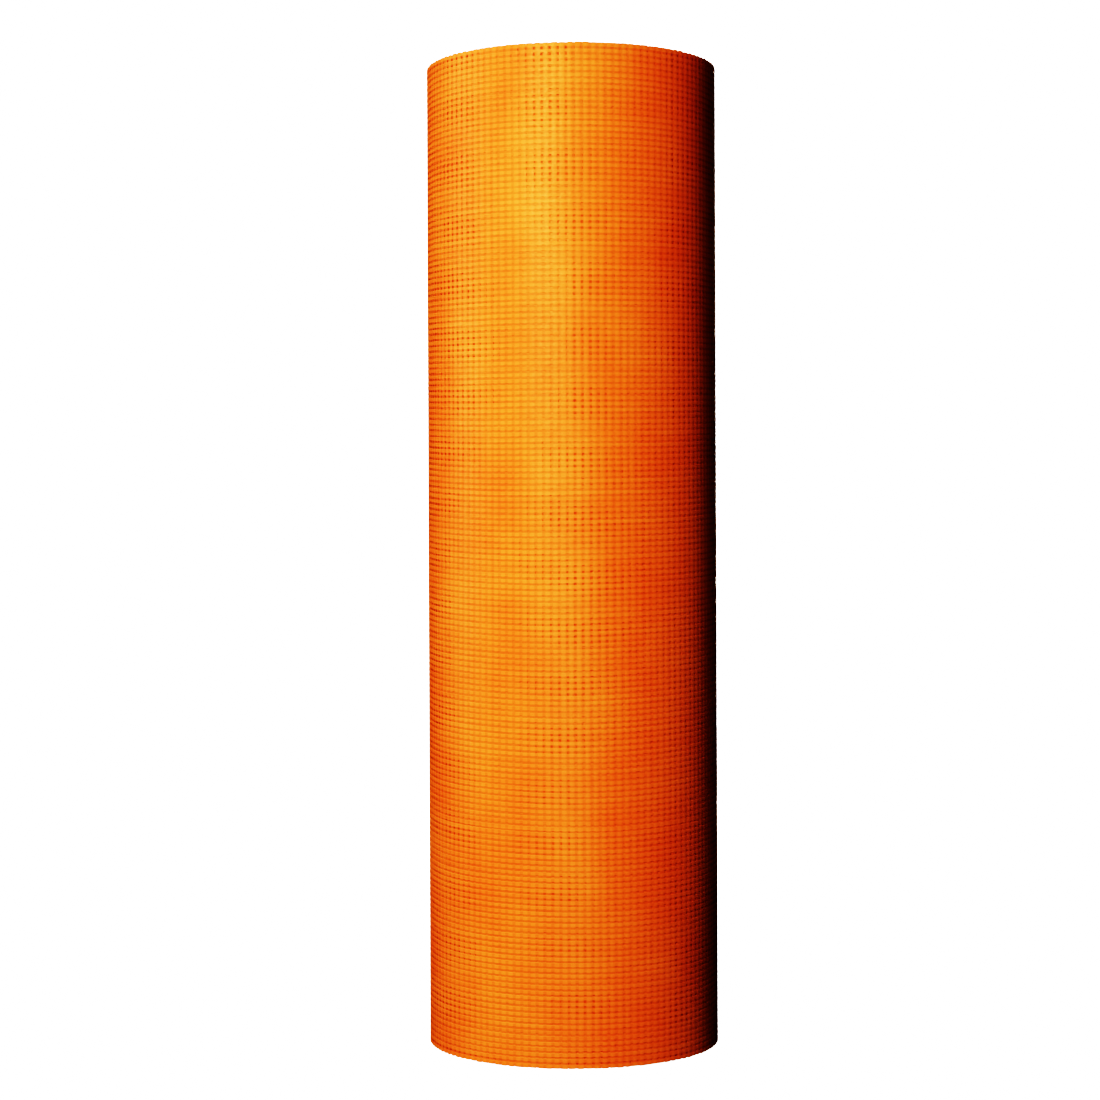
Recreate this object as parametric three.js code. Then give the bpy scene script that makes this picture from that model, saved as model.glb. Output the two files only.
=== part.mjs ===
// A roll of coated fibreglass reinforcing mesh, standing on one end.
// The web is wound on itself round an open bore, so the whole roll is one turned solid.
// Millimetres, +Z up along the roll's axis. The origin is the centre of the end it stands on.
import * as THREE from "three";

// The web's width, which is the height of the roll when it stands on its end
const WEB_WIDTH = 1000;
const OUTER_RADIUS = 149;
// The hole left by the winding bar, which goes right through
const BORE_RADIUS = 30;
// One turn of mesh with the air that it traps
const TURN_THICKNESS = 0.67;
// The turns settle into bands, and a shallow groove shows on both ends between two bands
const TURNS_PER_BAND = 20;
const GROOVE_WIDTH = 1.6;
const GROOVE_DEPTH = 1.5;
const FLAT_SIDES_ROUND_THE_ROLL = 64;

// Radii of the grooves between the bands of turns, from the bore outwards
function grooveRadii() {
  const wall = OUTER_RADIUS - BORE_RADIUS;
  const bands = Math.max(1, Math.round(wall / (TURN_THICKNESS * TURNS_PER_BAND)));
  const bandWidth = wall / bands;
  return Array.from({ length: bands - 1 }, (_, i) => BORE_RADIUS + (i + 1) * bandWidth);
}

// One end of the roll as points of radius and height, from the bore outwards.
// into is +1 where the roll lies above the end, and -1 where it lies below it.
function endProfile(height, into) {
  const points = [new THREE.Vector2(BORE_RADIUS, height)];
  for (const radius of grooveRadii()) {
    points.push(
      new THREE.Vector2(radius - GROOVE_WIDTH / 2, height),
      new THREE.Vector2(radius, height + into * GROOVE_DEPTH),
      new THREE.Vector2(radius + GROOVE_WIDTH / 2, height),
    );
  }
  points.push(new THREE.Vector2(OUTER_RADIUS, height));
  return points;
}

// The closed section through the wound wall, turned round the axis
function rollGeometry() {
  const bottom = endProfile(0, 1);
  const top = endProfile(WEB_WIDTH, -1).reverse();
  const section = [...bottom, ...top, bottom[0].clone()];
  const turned = new THREE.LatheGeometry(section, FLAT_SIDES_ROUND_THE_ROLL);
  // LatheGeometry turns round Y, and the roll's axis is Z
  return turned.rotateX(Math.PI / 2);
}

const orangeMesh = new THREE.MeshStandardMaterial({
  color: 0xf08a14,
  roughness: 0.55,
  metalness: 0,
});

const meshRoll = new THREE.Mesh(rollGeometry(), orangeMesh);
meshRoll.name = "mesh_roll";

const roll = new THREE.Group();
roll.add(meshRoll);

export default roll;
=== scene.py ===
"""Roll of orange coated fibreglass mesh, standing on one end.

The two outermost turns, the turn that faces the bore and the edges of every turn on both
ends are real yarns. The turns between them are one closed body under the yarns.
"""
import math

import bpy
import numpy as np
from mathutils import Matrix, Vector


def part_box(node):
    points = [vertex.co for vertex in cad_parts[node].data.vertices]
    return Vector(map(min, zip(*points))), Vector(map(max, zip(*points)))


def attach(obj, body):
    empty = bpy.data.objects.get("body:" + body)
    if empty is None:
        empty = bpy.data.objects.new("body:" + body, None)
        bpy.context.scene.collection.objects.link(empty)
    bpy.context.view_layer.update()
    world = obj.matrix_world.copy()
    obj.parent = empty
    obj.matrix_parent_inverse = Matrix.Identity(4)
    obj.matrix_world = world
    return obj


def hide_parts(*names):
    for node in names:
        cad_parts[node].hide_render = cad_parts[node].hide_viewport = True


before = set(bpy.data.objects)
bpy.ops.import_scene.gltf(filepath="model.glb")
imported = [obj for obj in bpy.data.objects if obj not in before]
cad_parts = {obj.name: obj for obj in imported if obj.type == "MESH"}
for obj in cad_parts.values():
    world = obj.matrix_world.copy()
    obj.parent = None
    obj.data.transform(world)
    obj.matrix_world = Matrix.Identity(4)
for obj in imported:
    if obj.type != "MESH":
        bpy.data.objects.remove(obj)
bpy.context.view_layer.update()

low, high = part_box("mesh_roll")

# Sizes are in metres and angles in radians, unless a comment says otherwise
HEIGHT = high[2] - low[2]
RADIUS = (high[0] - low[0]) / 2
BORE = 0.030

# The winding
TURN = 0.00067                    # one turn of web
TAIL = math.radians(205)          # where the web's outer end lies, counted from the front
TURNS = int((RADIUS - BORE) / TURN)
DRESSED_TURNS = 2                 # the outermost turns, which have all their yarns
BANDS = 9                         # the turns settle into bands with a groove between two
BAND = (RADIUS - BORE) / BANDS
GROOVE_HALF, GROOVE_DEEP = 0.0008, 0.0015

# The yarns. Wefts run along the roll, and rows run round it.
WEFTS, ROWS = 120, 176
SECOND_WEFTS, SECOND_ROWS = 113, 158
SELVEDGE = 0.0026                 # from the web's edge to its first row
WEFT_HALF, ROW_HALF = 0.00258, 0.00182     # half of a yarn's width
THICK_HALF = 0.00016              # half of its thickness
EDGE_THICK_HALF, CUT_THICK_HALF = 0.00024, 0.00023
WEFT_DEPTH = 0.00030              # from a turn's face to the middle of its wefts
ROW_DIP = 0.00015                 # how far a row dips between two wefts
SECOND_GAP = 0.00006              # from the second turn's face to its rows
SECOND_WIDER = 1.05               # how much wider its yarns are, as a factor
WIDTH_SPREAD, THICK_SPREAD = 0.07, 0.06    # how much yarns differ, as a share
TAIL_STUB = (0.003, 0.0065)       # how far a row sticks out past the last weft
CUT_TIP = 0.0012                  # how far the cut wefts reach into the roll from the first row
BORE_WEFTS = 24
BORE_WEFT_DEPTH, BORE_ROW_DEPTH = 0.0006, 0.0003
BORE_WEFT_DROP = 0.0012           # from the end of the roll to the tips of the wefts in the bore

# The closed body of the turns between, from the bore's face and from the first row
BODY_FROM_BORE, BODY_FROM_ROW = 0.00085, 0.0007

# How the yarns wander
WANDER = 0.001
SLACK = 0.0013                    # how far the second turn's yarns drift from the first one's
SAG = 0.010                       # how much lower the slack outer turns hang at the front

# How finely the shapes are divided
WEFT_POINTS, SECOND_WEFT_POINTS, SECOND_ROW_POINTS = 61, 21, 73
EDGE_STEPS_A_TURN = 46
BODY_SIDES, BODY_RINGS, BORE_RINGS = 192, 13, 13

# Sections of the yarns, from -1 to 1 both ways
LENS = np.array([(-1, 0), (0, -1), (1, 0), (0, 1)], float)
FLAT = np.array([(-1, -0.7), (1, -0.7), (0.74, 0.9), (-0.74, 0.9)])
RIBBON = np.array([(-1, 0), (-0.62, -0.85), (0.62, -0.85), (1, 0), (0.62, 0.85), (-0.62, 0.85)])
WEDGE = np.array([(-1, -0.7), (1, -0.7), (0, 1)], float)

# Where the parts of a yarn lie on its UV map: the sides below, and all caps on one spot above
SIDES_SHARE, CAP_SPOT, CAP_RADIUS = 0.98, (0.5, 0.99), 0.008

rng = np.random.default_rng(41)


# Places on the roll

def face_radius(s):
    """Outer face of the outermost turn, s radians in from the web's outer end."""
    return RADIUS - TURN * s / math.tau


def at(s, r, z):
    """Points on the roll. s is counted round the roll from the web's outer end."""
    angle = TAIL + s
    return np.stack([r * np.sin(angle), -r * np.cos(angle), z + 0 * angle], -1)


def outward(s):
    angle = TAIL + s
    return np.stack([np.sin(angle), -np.cos(angle), 0 * angle], -1)


def along(s):
    angle = TAIL + s
    return np.stack([np.cos(angle), np.sin(angle), 0 * angle], -1)


def upward(s):
    return np.broadcast_to(np.array([0.0, 0.0, 1.0]), (*np.shape(s), 3))


def evenly_round(count):
    """Places of the wefts, evenly spaced round the roll."""
    return (np.arange(count) + 0.5) / count * math.tau


def waves(s, z, *terms):
    """A sum of waves. A term is a size, radians for each unit of s and of z, and a start."""
    return sum(size * np.sin(around * s + up * z + start) for size, around, up, start in terms)


def bow(s, z, slack=0.0):
    """How far the rows wander up or down. It fades out at both edges of the web.

    slack is how far the second turn's rows drift away from the outermost turn's.
    """
    calm = np.sqrt(np.sin(np.pi * np.clip(z / HEIGHT, 0, 1)))
    wave = waves(s, z, (0.7, 1, 3.1, 0.9), (0.5, 2, 5.3, -1.7), (0.25, 5, 11, 0))
    drift = waves(s, z, (1, 1.7, 4.1, 0), (0.7, 3.9, -9.7, 1.3))
    return (WANDER * wave + slack * drift) * calm - SAG * np.cos(TAIL + s) * calm ** 2


def sway(s, z, slack=0.0):
    """How far the wefts wander round the roll."""
    wave = waves(s, z, (0.5, 2, 4, 0.4), (0.35, 3, -7.3, 0), (0.2, 7, 13, 0))
    drift = waves(s, z, (1, 1.9, 8.3, 0.6), (0.6, -3.1, 17.0, 0))
    return (WANDER * wave + slack * drift) / RADIUS


def sink(radius):
    """How far the turns lie below the end in a groove between two bands."""
    from_groove = np.abs((radius - BORE + BAND / 2) % BAND - BAND / 2)
    in_wall = (radius > BORE + BAND / 2) & (radius < RADIUS - BAND / 2)
    return np.where(in_wall, GROOVE_DEEP * np.clip(1 - from_groove / GROOVE_HALF, 0, 1), 0)


def unevenness(s):
    """Turns don't wind quite level. At most 0.5 mm, and never out past the end."""
    turn = s / math.tau
    wave = (np.sin(turn * 0.9) + 0.7 * np.sin(turn * 2.3 + 1.1) + 0.5 * np.sin(turn * 7.1 + 2.0)
            + 0.4 * np.sin(turn * 19.7 + s % math.tau))
    return 0.00025 * (1 + wave / 2.6)


# Shapes

class Shape:
    """Collects yarns, and makes one mesh of them."""

    def __init__(self):
        self.verts, self.faces, self.maps, self.slots, self.crossings = [], [], [], [], []
        self.count = 0

    def yarns(self, centres, side, out, half_wide, half_thick, section, ring=False, cap_slot=0,
              crossing=0.0):
        """Adds yarns along centres, which is (yarns, points, 3).

        A ring closes on itself, and any other yarn has a cap on both ends. crossing is a whole
        number where a yarn crosses another one.
        """
        lines, points = centres.shape[:2]
        k = len(section)
        wide = np.broadcast_to(half_wide, (lines, points))[..., None, None]
        thick = np.broadcast_to(half_thick, (lines, points))[..., None, None]
        a, b = section[:, 0][None, None, :, None], section[:, 1][None, None, :, None]
        verts = centres[:, :, None] + side[:, :, None] * wide * a + out[:, :, None] * thick * b
        index = np.arange(lines * points * k).reshape(lines, points, k) + self.count
        span = points if ring else points - 1
        here, there = index[:, :span], np.roll(index, -1, axis=1)[:, :span]
        quads = np.stack([here, np.roll(here, -1, 2), np.roll(there, -1, 2), there], -1)
        u = np.broadcast_to(np.arange(span)[None, :, None], here.shape)
        v = (np.arange(lines)[:, None, None] * k + np.arange(k)[None, None, :]) + 0 * u
        corner_u = np.stack([u, u, u + 1, u + 1], -1) / span
        corner_v = np.stack([v, v + 1, v + 1, v], -1) / (lines * k) * SIDES_SHARE
        groups = [(quads.reshape(-1, 4), np.stack([corner_u, corner_v], -1).reshape(-1, 4, 2), 0)]
        if not ring:
            turn = np.arange(k) / k * math.tau
            spot = np.stack([np.cos(turn), np.sin(turn)], -1) * CAP_RADIUS + CAP_SPOT
            for caps in (index[:, 0, ::-1], index[:, -1]):
                groups.append((caps, np.broadcast_to(spot, (lines, k, 2)), cap_slot))
        # The first yarn shows whether its faces look inwards, and then all are turned over
        corners = verts[0].reshape(-1, 3)[quads[0].reshape(-1, 4) - self.count]
        normal = np.cross(corners[:, 2] - corners[:, 0], corners[:, 3] - corners[:, 1])
        if ((corners.mean(1) - np.repeat(centres[0, :span], k, 0)) * normal).sum() < 0:
            groups = [(faces[:, ::-1], uv[:, ::-1], slot) for faces, uv, slot in groups]
        for faces, uv, slot in groups:
            self.faces.append(faces)
            self.maps.append(uv)
            self.slots.append(np.full(len(faces), slot))
        self.verts.append(verts.reshape(-1, 3))
        self.crossings.append(np.broadcast_to(crossing, (lines, points)).repeat(k))
        self.count += lines * points * k

    def make(self, name, materials, smooth=False):
        verts = np.concatenate(self.verts)
        loops = np.concatenate([f.reshape(-1) for f in self.faces])
        sizes = np.concatenate([np.full(len(f), f.shape[1]) for f in self.faces])
        starts = np.concatenate([[0], np.cumsum(sizes)[:-1]])
        me = bpy.data.meshes.new(name)
        me.vertices.add(len(verts))
        me.vertices.foreach_set("co", verts.astype(np.float32).ravel())
        me.loops.add(len(loops))
        me.loops.foreach_set("vertex_index", loops.astype(np.int32))
        me.polygons.add(len(sizes))
        me.polygons.foreach_set("loop_start", starts.astype(np.int32))
        me.polygons.foreach_set("material_index", np.concatenate(self.slots).astype(np.int32))
        me.update(calc_edges=True)
        layer = me.uv_layers.new(name="OFBake", do_init=False)
        places = np.concatenate([m.reshape(-1, 2) for m in self.maps])
        layer.uv.foreach_set("vector", places.astype(np.float32).ravel())
        me.polygons.foreach_set("use_smooth", np.full(len(sizes), smooth))
        if self.crossings:
            crossing = me.attributes.new("crossing", "FLOAT", "POINT")
            crossing.data.foreach_set("value", np.concatenate(self.crossings).astype(np.float32))
        me.validate()
        for material in materials:
            me.materials.append(material)
        piece = bpy.data.objects.new(name, me)
        bpy.context.scene.collection.objects.link(piece)
        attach(piece, "root")
        return piece


# Materials

DEEP, ORANGE, LIGHT = (0.79, 0.173, 0.0400), (0.82, 0.205, 0.0480), (0.85, 0.240, 0.0580)
WHITE = (1.0, 1.0, 1.0)
# The turns below the second one lie in the shade of the mesh
SHADED = (0.62, 0.104, 0.0172), (0.68, 0.128, 0.0218), (0.74, 0.156, 0.0275)
CUT_COAT, CUT_GLASS = (0.86, 0.26, 0.05), (0.93, 0.55, 0.24)
BODY_COLUMNS, BODY_ROWS = 117, 169

# Waves a metre round the roll, along it and outwards
CLOUDS = (11, 8, 0)
WEFT_TONES, ROW_TONES = (150, 6, 400), (6, 190, 400)
WEFT_FILAMENTS, ROW_FILAMENTS = (5200, 90, 900), (90, 5200, 900)
LUMPS = (420, 420, 420)
BODY_STAINS = (60, 60, 300)
CUT_GRAIN = (2600, 2600, 2600)


def nodes_of(name):
    material = bpy.data.materials.new(name)
    material.use_nodes = True
    tree = material.node_tree
    tree.nodes.clear()
    output = tree.nodes.new("ShaderNodeOutputMaterial")
    shader = tree.nodes.new("ShaderNodeBsdfPrincipled")
    tree.links.new(shader.outputs[0], output.inputs[0])
    return material, tree, shader


def maths(tree, operation, *values):
    node = tree.nodes.new("ShaderNodeMath")
    node.operation = operation
    for socket, value in zip(node.inputs, values):
        if isinstance(value, (int, float)):
            socket.default_value = value
        else:
            tree.links.new(value, socket)
    return node.outputs[0]


def mix(tree, *parts):
    """A sum of values, each times its share."""
    scaled = [maths(tree, "MULTIPLY", value, share) for value, share in parts]
    return maths(tree, "ADD", *scaled)


def round_the_roll(tree):
    """The way round the roll, the height and the radius of a point, in metres."""
    where = tree.nodes.new("ShaderNodeTexCoord").outputs["Object"]
    parts = tree.nodes.new("ShaderNodeSeparateXYZ")
    tree.links.new(where, parts.inputs[0])
    x, y, z = parts.outputs
    angle = maths(tree, "ARCTAN2", x, maths(tree, "MULTIPLY", y, -1.0))
    radius = maths(tree, "SQRT", maths(tree, "ADD", maths(tree, "MULTIPLY", x, x),
                                       maths(tree, "MULTIPLY", y, y)))
    return maths(tree, "MULTIPLY", angle, RADIUS), z, radius


def noise(tree, place, scale, detail=2.0):
    """Noise with its own number of waves a metre along each of the three ways."""
    joined = tree.nodes.new("ShaderNodeCombineXYZ")
    for socket, value, many in zip(joined.inputs, place, scale):
        tree.links.new(maths(tree, "MULTIPLY", value, float(many)), socket)
    texture = tree.nodes.new("ShaderNodeTexNoise")
    texture.inputs["Scale"].default_value = 1.0
    texture.inputs["Detail"].default_value = detail
    tree.links.new(joined.outputs[0], texture.inputs["Vector"])
    return texture.outputs[0]


def ramp(tree, value, stops):
    node = tree.nodes.new("ShaderNodeValToRGB")
    while len(node.color_ramp.elements) < len(stops):
        node.color_ramp.elements.new(0.5)
    for element, (place, colour) in zip(node.color_ramp.elements, stops):
        element.position = place
        element.color = (*colour, 1.0)
    tree.links.new(value, node.inputs[0])
    return node.outputs[0]


def map_range(tree, value, before, after, interpolation="LINEAR"):
    node = tree.nodes.new("ShaderNodeMapRange")
    node.interpolation_type = interpolation
    node.inputs["From Min"].default_value, node.inputs["From Max"].default_value = before
    node.inputs["To Min"].default_value, node.inputs["To Max"].default_value = after
    tree.links.new(value, node.inputs["Value"])
    return node.outputs[0]


def bump(tree, shader, height, strength, distance):
    node = tree.nodes.new("ShaderNodeBump")
    node.inputs["Strength"].default_value = strength
    node.inputs["Distance"].default_value = distance
    tree.links.new(height, node.inputs["Height"])
    tree.links.new(node.outputs[0], shader.inputs["Normal"])


def darker(colour, share):
    """Shade in a gap takes more of the green and blue than of the red."""
    return (colour[0] * share, colour[1] * share ** 1.5, colour[2] * share ** 1.5)


def shade_between_crossings(tree, shaded_between):
    """Painted shade for a yarn: white where two yarns cross, and darker between two crossings."""
    crossing = tree.nodes.new("ShaderNodeAttribute")
    crossing.attribute_name = "crossing"
    wave = maths(tree, "COSINE", maths(tree, "MULTIPLY", crossing.outputs["Fac"], math.tau))
    from_0_to_1 = maths(tree, "ADD", maths(tree, "MULTIPLY", wave, 0.5), 0.5)
    return ramp(tree, from_0_to_1, [(0.15, (0.5 + shaded_between / 2, shaded_between, shaded_between)), (0.60, WHITE)])


def yarn_material(name, lengthwise, shaded_between, share=1.0, roughness=0.42):
    """Glass yarn in its coating. lengthwise is True for the yarns that run along the roll.

    shaded_between is how bright a yarn is between two crossings, where shade is painted, and share
    how bright it is in all, with painted shade below 1.
    """
    material, tree, shader = nodes_of(name)
    place = round_the_roll(tree)
    # Tone changes slowly along a yarn, and from one yarn to the next
    tone = noise(tree, place, WEFT_TONES if lengthwise else ROW_TONES, 3.0)
    both = mix(tree, (tone, 0.35), (noise(tree, place, CLOUDS, 3.0), 0.65))
    colour = ramp(tree, both, [(0.34, darker(DEEP, share)), (0.50, darker(ORANGE, share)),
                               (0.66, darker(LIGHT, share))])
    # Painted shade between two crossings darkens the colour
    shade_painted = tree.nodes.new("ShaderNodeVectorMath")
    shade_painted.operation = "MULTIPLY"
    tree.links.new(colour, shade_painted.inputs[0])
    tree.links.new(shade_between_crossings(tree, shaded_between), shade_painted.inputs[1])
    tree.links.new(shade_painted.outputs[0], shader.inputs["Base Color"])
    # The filaments show as fine lines along the yarn
    strands = noise(tree, place, WEFT_FILAMENTS if lengthwise else ROW_FILAMENTS, 2.0)
    lumps = noise(tree, place, LUMPS, 1.0)
    bump(tree, shader, mix(tree, (strands, 1.0), (lumps, 0.8)), 0.35, 0.00008)
    rough = map_range(tree, lumps, (0.3, 0.7), (roughness - 0.07, roughness + 0.12))
    tree.links.new(rough, shader.inputs["Roughness"])
    # The sheen comes from inside the orange coating, so it is tinted
    shader.inputs["Specular IOR Level"].default_value = 0.38
    shader.inputs["Specular Tint"].default_value = (1.0, 0.82, 0.35, 1.0)
    return material


def body_material():
    """The turns under the two outermost ones, in the shade of the mesh above them."""
    material, tree, shader = nodes_of("inner_turns")
    place = round_the_roll(tree)
    s, z, radius = place
    across = maths(tree, "SINE", maths(tree, "MULTIPLY", s, BODY_COLUMNS / RADIUS))
    rows = maths(tree, "SINE", maths(tree, "MULTIPLY", z, math.tau * BODY_ROWS / HEIGHT))
    turns = maths(tree, "SINE", maths(tree, "MULTIPLY", radius, math.tau / TURN))
    grid = mix(tree, (maths(tree, "MAXIMUM", across, rows), 1.0), (turns, 0.3))
    # Painted shade: a painted grid of the deeper yarns and random stains, all in the shaded colours
    grid_and_stains_in_shade = mix(tree, (grid, 0.22), (noise(tree, place, BODY_STAINS, 2.0), 0.6))
    colour = ramp(tree, grid_and_stains_in_shade, list(zip((0.15, 0.45, 0.75), SHADED)))
    tree.links.new(colour, shader.inputs["Base Color"])
    bump(tree, shader, grid, 0.6, 0.0003)
    shader.inputs["Roughness"].default_value = 0.6
    shader.inputs["Specular IOR Level"].default_value = 0.1
    return material


def cut_material():
    """Cut yarn ends, where the pale glass shows in its coating."""
    material, tree, shader = nodes_of("cut_yarn_ends")
    grain = noise(tree, round_the_roll(tree), CUT_GRAIN, 2.0)
    colour = ramp(tree, grain, [(0.35, CUT_COAT), (0.65, CUT_GLASS)])
    tree.links.new(colour, shader.inputs["Base Color"])
    bump(tree, shader, grain, 0.3, 0.00005)
    shader.inputs["Roughness"].default_value = 0.55
    return material


weft_coat = yarn_material("weft_yarn", True, 0.75)
warp_coat = yarn_material("warp_yarn", False, 0.85, roughness=0.45)
# The second turn's yarns are painted darker all over, as painted shade under the outermost turn, and
# the edge yarns are painted a little darker too
second_weft_coat = yarn_material("second_turn_weft_yarn", True, 0.95, 0.86)
second_warp_coat = yarn_material("second_turn_warp_yarn", False, 0.95, 0.86, 0.5)
edge_coat = yarn_material("edge_yarn", False, 1.0, 0.95, 0.5)
body_coat = body_material()
cut_coat = cut_material()


# The two outermost turns

def rows_of(count):
    """Heights of the rows, evenly spaced between the web's two selvedges, with a little play."""
    z = np.linspace(SELVEDGE, HEIGHT - SELVEDGE, count)
    play = rng.normal(0, 0.00010, count)
    play[[0, -1]] = 0
    return z + play


def wefts(name, materials, count, rows, depth, points, wider, slack=0.0):
    """Yarns along the roll, depth below the face of the outermost turn."""
    s = evenly_round(count) + rng.normal(0, 0.0001, count) / RADIUS
    tips = rng.uniform(0, 0.0005, (2, count))
    z = tips[0][:, None] + np.linspace(0, 1, points) * (HEIGHT - tips[0] - tips[1])[:, None]
    s = s[:, None] + sway(s[:, None], z, slack)
    wide = WEFT_HALF * wider * (1 + WIDTH_SPREAD * rng.normal(0, 1, (count, 1)))
    wide = wide * (1 + 0.05 * np.sin(z * 61 + s * 40))
    level = z - bow(s, z - bow(s, z, slack), slack)
    row = (level - SELVEDGE) / (HEIGHT - 2 * SELVEDGE) * (rows - 1)
    shape = Shape()
    shape.yarns(at(s, face_radius(s) - depth, z), along(s), outward(s), wide, THICK_HALF, RIBBON,
                cap_slot=1, crossing=row)
    shape.make(name, materials)


def row_places(z):
    """Where the row at height z crosses the outermost wefts, and the middles between them."""
    s = evenly_round(WEFTS)
    on = s[None] + sway(s[None], z[:, None])
    line = np.empty((len(z), 2 * WEFTS - 1))
    line[:, 0::2], line[:, 1::2] = on, (on[:, 1:] + on[:, :-1]) / 2
    return line


def outermost_turn():
    """Its rows are two pieces, because one would have too many triangles."""
    row_z = rows_of(ROWS)
    wefts("outer_weft_yarns", [weft_coat, cut_coat], WEFTS, ROWS, WEFT_DEPTH, WEFT_POINTS, 1.0)
    stub = rng.uniform(*TAIL_STUB, (ROWS, 1)) / RADIUS
    line = row_places(row_z)
    line = np.concatenate([line[:, :1] - stub, line, np.full((ROWS, 1), math.tau)], 1)
    on_weft = np.zeros(line.shape[1])
    on_weft[1:-1:2] = 1
    z = row_z[:, None] + bow(line, row_z[:, None])
    # A row rides over each weft and dips between two of them
    r = face_radius(line) - THICK_HALF - ROW_DIP * (1 - on_weft)[None]
    wide = ROW_HALF * (1 + 0.10 * on_weft[None])
    wide = wide * (1 + WIDTH_SPREAD * rng.normal(0, 1, (ROWS, 1)))
    thick = THICK_HALF * (1 + THICK_SPREAD * rng.normal(0, 1, (ROWS, 1)))
    crossing = (np.arange(line.shape[1]) - 1) / 2
    half = ROWS // 2
    for name, part in (("outer_rows_lower", slice(0, half)), ("outer_rows_upper", slice(half, ROWS))):
        shape = Shape()
        shape.yarns(at(line[part], r[part], z[part]), upward(line[part]), outward(line[part]),
                    wide[part], thick[part], FLAT, cap_slot=1, crossing=crossing)
        shape.make(name, [warp_coat, cut_coat])


def second_turn():
    row_z = rows_of(SECOND_ROWS)
    wefts("second_turn_weft_yarns", [second_weft_coat, cut_coat], SECOND_WEFTS, SECOND_ROWS,
          TURN + WEFT_DEPTH, SECOND_WEFT_POINTS, SECOND_WIDER, SLACK)
    s = np.broadcast_to(np.linspace(0, math.tau, SECOND_ROW_POINTS), (SECOND_ROWS, SECOND_ROW_POINTS))
    z = row_z[:, None] + bow(s, row_z[:, None], SLACK)
    r = face_radius(s) - TURN - THICK_HALF - SECOND_GAP
    crossing = (s - sway(s, z, SLACK)) / math.tau * SECOND_WEFTS - 0.5
    shape = Shape()
    shape.yarns(at(s, r, z), upward(s), outward(s), ROW_HALF * SECOND_WIDER, THICK_HALF, FLAT,
                crossing=crossing)
    shape.make("second_turn_rows", [second_warp_coat])


outermost_turn()
second_turn()


# The ends

def cut_weft_places():
    """Wefts are evenly spaced along the web, so they stand in other places on each turn."""
    turns = TURNS - DRESSED_TURNS
    length = math.tau * (RADIUS + BORE) / 2 * turns
    many = int(length / (math.tau * RADIUS / WEFTS))
    far = (np.arange(many) + rng.uniform(-0.12, 0.12, many)) * (length / many)
    outer = face_radius(DRESSED_TURNS * math.tau)
    slope = TURN / math.tau
    into_spiral = (outer - np.sqrt(np.maximum(outer ** 2 - 2 * slope * far, 0))) / slope
    s = into_spiral + DRESSED_TURNS * math.tau
    return s[s < TURNS * math.tau - 0.05]


def turn_edges(name, end, into):
    """The selvedge rows of all turns as one spiral, and the cut ends of their wefts.

    into is +1 where the roll lies above the end, and -1 where it lies below it.
    """
    shape = Shape()
    steps = np.arange(DRESSED_TURNS * EDGE_STEPS_A_TURN, TURNS * EDGE_STEPS_A_TURN)
    s = steps / EDGE_STEPS_A_TURN * math.tau
    radius = face_radius(s) - TURN / 2
    z = end + into * (SELVEDGE + sink(radius) + unevenness(s))
    shape.yarns(at(s, radius, z)[None], upward(s)[None], outward(s)[None], ROW_HALF,
                EDGE_THICK_HALF, LENS)
    s = cut_weft_places()
    radius = face_radius(s) - TURN / 2
    drop = sink(radius) + unevenness(s)
    tip = end + into * drop * rng.uniform(0.2, 1.0, len(s))
    root = end + into * (SELVEDGE + CUT_TIP + drop)
    lower, upper = (root, tip) if into < 0 else (tip, root)
    ends = np.stack([at(s, radius, lower), at(s, radius, upper)], 1)
    side = np.repeat(along(s)[:, None], 2, 1)
    out = np.repeat(outward(s)[:, None], 2, 1)
    wide = WEFT_HALF * rng.uniform(0.8, 1.1, (len(s), 1))
    shape.yarns(ends, side, out, wide, CUT_THICK_HALF, WEDGE, cap_slot=1)
    shape.make(name, [edge_coat, cut_coat])


turn_edges("upper_turn_edges", HEIGHT, -1)
turn_edges("lower_turn_edges", 0.0, 1)


# The turns between

def inner_turns():
    """One closed body, turned round the axis, with the grooves of both ends."""
    s = np.arange(BODY_SIDES) / BODY_SIDES * math.tau
    outer = face_radius(s) - DRESSED_TURNS * TURN
    inner = BORE + BODY_FROM_BORE
    depth = SELVEDGE + BODY_FROM_ROW
    stops = [inner]
    for i in range(1, BANDS):
        groove = BORE + BAND * i
        stops += [groove - GROOVE_HALF, groove, groove + GROOVE_HALF]
    # A radius of None stands for the outer face, which is a spiral
    lower = [(x, depth + float(sink(np.array(x)))) for x in stops] + [(None, depth)]
    upper = [(x, HEIGHT - z) for x, z in reversed(lower)]
    heights = np.linspace(depth, HEIGHT - depth, BODY_RINGS)[1:-1]
    wall = [(None, z) for z in heights]
    bore = [(inner, z) for z in heights[::-1]]
    section = lower + wall + upper + bore
    rings = [at(s, outer if x is None else np.full(BODY_SIDES, x), z) for x, z in section]
    index = np.arange(len(section) * BODY_SIDES).reshape(len(section), BODY_SIDES)
    beside, above = np.roll(index, -1, 1), np.roll(index, -1, 0)
    quads = np.stack([index, beside, np.roll(beside, -1, 0), above], -1).reshape(-1, 4)
    row, column = np.indices(index.shape)
    u = np.stack([column, column + 1, column + 1, column], -1) / BODY_SIDES
    v = np.stack([row, row, row + 1, row + 1], -1) / len(section)
    shape = Shape()
    shape.verts.append(np.stack(rings).reshape(-1, 3))
    shape.faces.append(quads)
    shape.maps.append(np.stack([u, v], -1).reshape(-1, 4, 2))
    shape.slots.append(np.zeros(len(quads)))
    piece = shape.make("inner_turns", [body_coat])
    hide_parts("mesh_roll")


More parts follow.
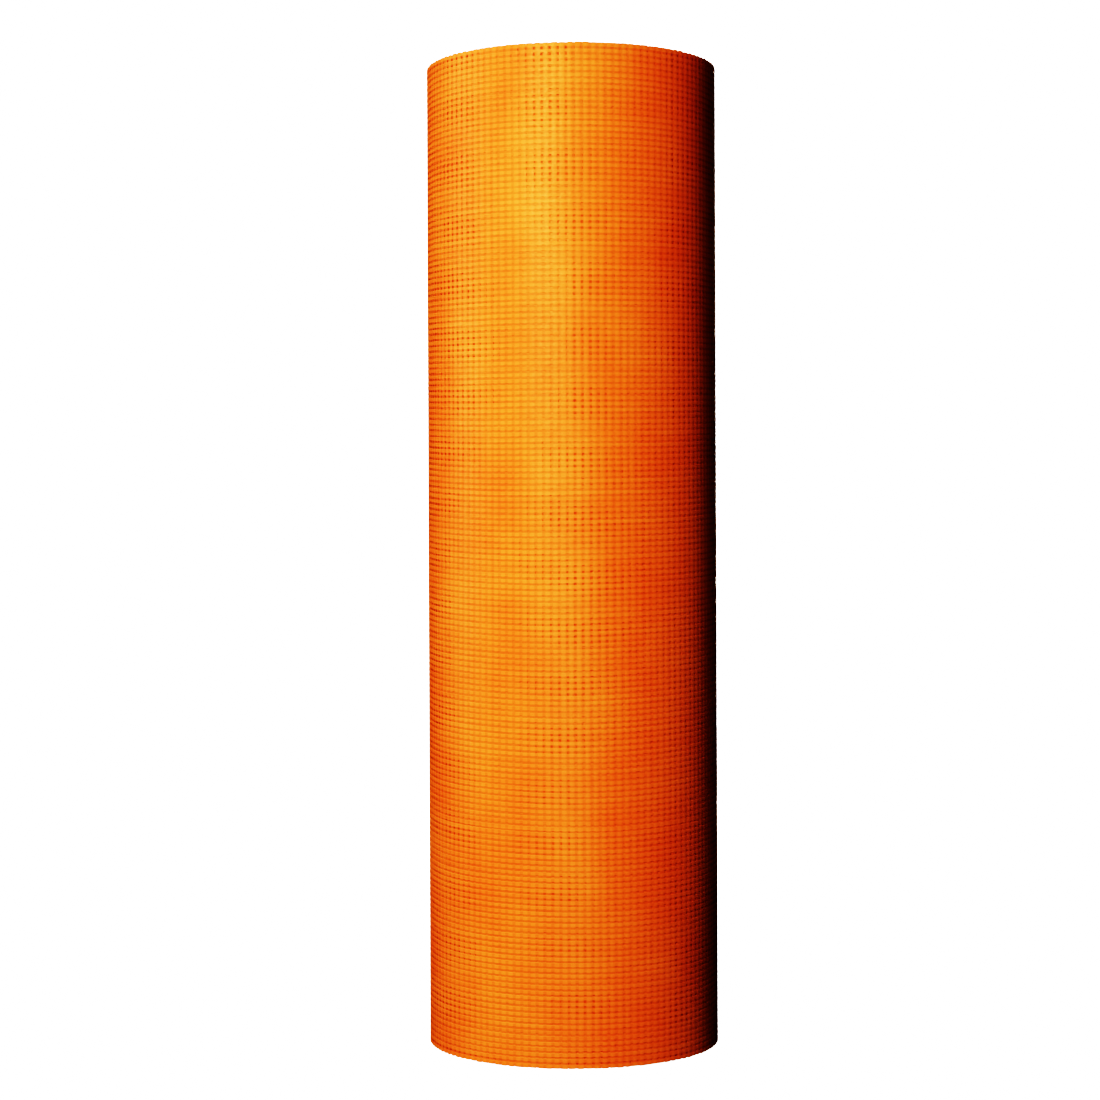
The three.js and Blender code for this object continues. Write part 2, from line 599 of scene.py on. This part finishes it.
def bore_turn():
    """The innermost turn, seen from the bore."""
    shape = Shape()
    s = np.repeat(evenly_round(BORE_WEFTS)[:, None], BORE_RINGS, 1)
    z = np.linspace(BORE_WEFT_DROP, HEIGHT - BORE_WEFT_DROP, BORE_RINGS)
    z = np.repeat(z[None], BORE_WEFTS, 0)
    shape.yarns(at(s, BORE + BORE_WEFT_DEPTH + 0 * s, z), along(s), outward(s), WEFT_HALF,
                THICK_HALF, RIBBON, cap_slot=1)
    s = np.broadcast_to(np.arange(BORE_WEFTS) / BORE_WEFTS * math.tau, (ROWS, BORE_WEFTS))
    z = np.repeat(rows_of(ROWS)[:, None], BORE_WEFTS, 1)
    shape.yarns(at(s, BORE + BORE_ROW_DEPTH + 0 * s, z), upward(s), -outward(s), ROW_HALF,
                THICK_HALF, FLAT, ring=True)
    # The bore's yarns take the second turn's painted shade
    shape.make("bore_turn", [second_warp_coat, cut_coat], smooth=True)


inner_turns()
bore_turn()


# The studio

FLOOR_HALF, FLOOR_DROP = 9, 0.0002
ROOM_LIGHT = 1.3
# Round the roll the floor is a little less bright than the room, and further out as bright
FLOOR_FADE, FLOOR_LIGHT = (0.2, 1.3), (0.9, ROOM_LIGHT)

RESPONSE_POINTS = 24
MIDDLE_LIGHT = 0.123              # scene light that the picture shows as about half bright
CONTRAST = 1.84


def aim(item, target, roll=0.0):
    turned = (Vector(target) - item.location).to_track_quat("-Z", "Y").to_matrix().to_4x4()
    item.matrix_world = (Matrix.Translation(item.location) @ turned
                         @ Matrix.Rotation(roll, 4, "Z"))


def floor():
    material, tree, shader = nodes_of("pale_floor")
    shader.inputs["Base Color"].default_value = (0.5, 0.5, 0.5, 1)
    shader.inputs["Roughness"].default_value = 0.9
    shader.inputs["Emission Color"].default_value = (1, 1, 1, 1)
    radius = round_the_roll(tree)[2]
    light = map_range(tree, radius, FLOOR_FADE, FLOOR_LIGHT, "SMOOTHSTEP")
    tree.links.new(light, shader.inputs["Emission Strength"])
    corners = [(-1, -1), (1, -1), (1, 1), (-1, 1)]
    me = bpy.data.meshes.new("floor")
    me.from_pydata([(x * FLOOR_HALF, y * FLOOR_HALF, -FLOOR_DROP) for x, y in corners], [],
                   [(0, 1, 2, 3)])
    me.materials.append(material)
    piece = bpy.data.objects.new("floor", me)
    bpy.context.scene.collection.objects.link(piece)
    piece.visible_diffuse = False
    piece.visible_glossy = False


def white_room():
    world = bpy.data.worlds.new("white_room")
    bpy.context.scene.world = world
    world.use_nodes = True
    background = world.node_tree.nodes["Background"]
    background.inputs[0].default_value = (1, 1, 1, 1)
    background.inputs[1].default_value = ROOM_LIGHT
    world.cycles_visibility.diffuse = False
    world.cycles_visibility.glossy = False


def softbox(name, angle, away, height, wide, tall, watts):
    """A rectangular light, angle degrees round from the front towards the right."""
    data = bpy.data.lights.new(name, "AREA")
    data.shape, data.size, data.size_y, data.energy = "RECTANGLE", wide, tall, watts
    light = bpy.data.objects.new(name, data)
    bpy.context.scene.collection.objects.link(light)
    a = math.radians(angle)
    light.location = (away * math.sin(a), -away * math.cos(a), height)
    light.visible_camera = False
    aim(light, (0, 0, HEIGHT / 2))


def response(light):
    """Scene light, of which 1 is white, to the light that the picture shows for it."""
    shown = (1 + MIDDLE_LIGHT ** CONTRAST) / (1 + (MIDDLE_LIGHT / light) ** CONTRAST)
    return shown / 12.92 if shown < 0.04045 else ((shown + 0.055) / 1.055) ** 2.4


def camera_response():
    """The photo's contrast: deep shadows, and highlights that level off softly."""
    view = bpy.context.scene.view_settings
    view.view_transform = "Standard"
    view.look = "None"
    view.exposure = 0.0
    view.gamma = 1.0
    view.use_curve_mapping = True
    mapping = view.curve_mapping
    mapping.extend = "HORIZONTAL"
    all_channels = mapping.curves[3]
    for i in range(1, RESPONSE_POINTS):
        light = (i / RESPONSE_POINTS) ** 2
        all_channels.points.new(light, response(light))
    mapping.update()


floor()
white_room()
softbox("key", angle=-22, away=2.2, height=1.30, wide=0.3, tall=1.2, watts=25.5)
softbox("side", angle=-84, away=2.2, height=1.10, wide=1.4, tall=1.6, watts=14)
softbox("front", angle=0, away=2.2, height=0.50, wide=0.5, tall=1.2, watts=10)
softbox("back", angle=172, away=2.25, height=1.00, wide=0.7, tall=1.8, watts=42)
softbox("top", angle=200, away=0.3, height=2.60, wide=0.8, tall=0.8, watts=32)
camera_response()


# The camera stands almost level with the middle of the roll

PHOTO = 1100                      # the photo's side, in pixels
LENS_PIXELS = 2417.0              # the focal length, in the photo's pixels
SEEN_AT = (572.6, 555.0)          # where the middle of the roll lies in the photo, in pixels
DISTANCE = 2.50
TILT = math.radians(0.3)          # how far the camera looks down
LEAN = math.radians(-0.2)         # how far it is turned round its own line of sight
SENSOR = 36                       # in millimetres


def photo_camera():
    data = bpy.data.cameras.new("camera")
    data.sensor_width = SENSOR
    data.lens = LENS_PIXELS / PHOTO * SENSOR
    camera = bpy.data.objects.new("camera", data)
    bpy.context.scene.collection.objects.link(camera)
    middle = Vector((0, 0, HEIGHT / 2))
    camera.location = middle + DISTANCE * Vector((0, -math.cos(TILT), math.sin(TILT)))
    metres = DISTANCE / LENS_PIXELS
    aside, below = SEEN_AT[0] - PHOTO / 2, SEEN_AT[1] - PHOTO / 2
    aim(camera, middle + Vector((-aside * metres, 0, below * metres)), LEAN)
    bpy.context.scene.camera = camera


photo_camera()
